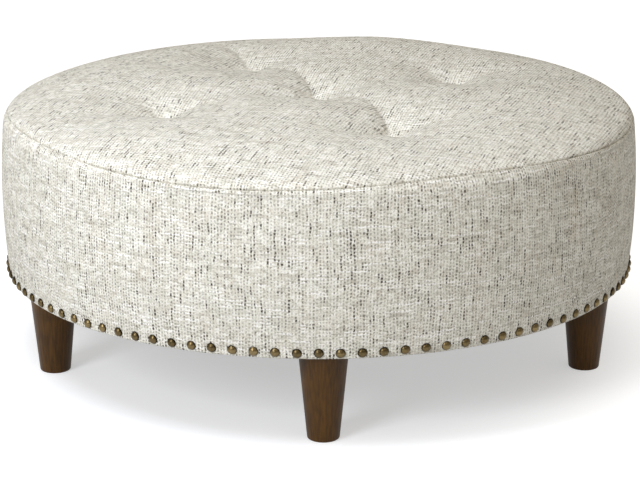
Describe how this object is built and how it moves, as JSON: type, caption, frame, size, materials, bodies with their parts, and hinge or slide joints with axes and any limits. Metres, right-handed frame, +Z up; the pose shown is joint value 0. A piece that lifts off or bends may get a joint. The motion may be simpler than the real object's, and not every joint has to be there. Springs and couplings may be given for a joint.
{
  "type": "ottoman coffee table",
  "caption": "Round upholstered ottoman coffee table with a tufted top, nailhead trim and short tapered wooden legs.",
  "frame": {"origin": "on the floor under the centre of the body", "axes": "+Z up, the front leg at -Y, +X to the right seen from the front"},
  "size_m": [1.0159, 1.016, 0.4259],
  "materials": {
    "cover_fabric": "woven linen-look tweed, cream with grey-brown slubs",
    "leg_wood": "dark stained hardwood, satin lacquer",
    "antique_brass": "antiqued brass, worn highlights",
    "foam": "polyurethane upholstery foam",
    "batting": "bonded polyester fibre",
    "plywood": "plywood, unfinished",
    "frame_timber": "sawn softwood, unfinished",
    "liner_board": "bent fibreboard",
    "twine": "waxed nylon tufting twine",
    "anchor_fibre": "vulcanised fibre",
    "zinc_steel": "zinc plated",
    "dust_cloth": "black spunbond cloth"
  },
  "bodies": {
    "root": {"leg_front": "leg_wood", "leg_right": "leg_wood", "leg_back_right": "leg_wood", "leg_back_left": "leg_wood", "leg_left": "leg_wood", "top_cover": "cover_fabric", "wall_cover": "cover_fabric", "nailheads": "antique_brass", "foam_core": "foam", "top_batting": "batting", "wall_padding": "batting", "base_ring": "plywood", "deck_panel": "plywood", "frame_posts": "frame_timber", "leg_blocks": "frame_timber", "deck_battens": "frame_timber", "wall_liner": "liner_board", "tuft_twines": "twine", "tuft_anchors": "anchor_fibre", "hanger_bolts": "zinc_steel", "tee_nuts": "zinc_steel", "post_screws": "zinc_steel", "deck_screws": "zinc_steel", "block_screws": "zinc_steel", "batten_screws": "zinc_steel", "cover_staples": "zinc_steel", "dust_cover_staples": "zinc_steel", "liner_staples": "zinc_steel", "dust_cover": "dust_cloth"}
  },
  "joints": []
}
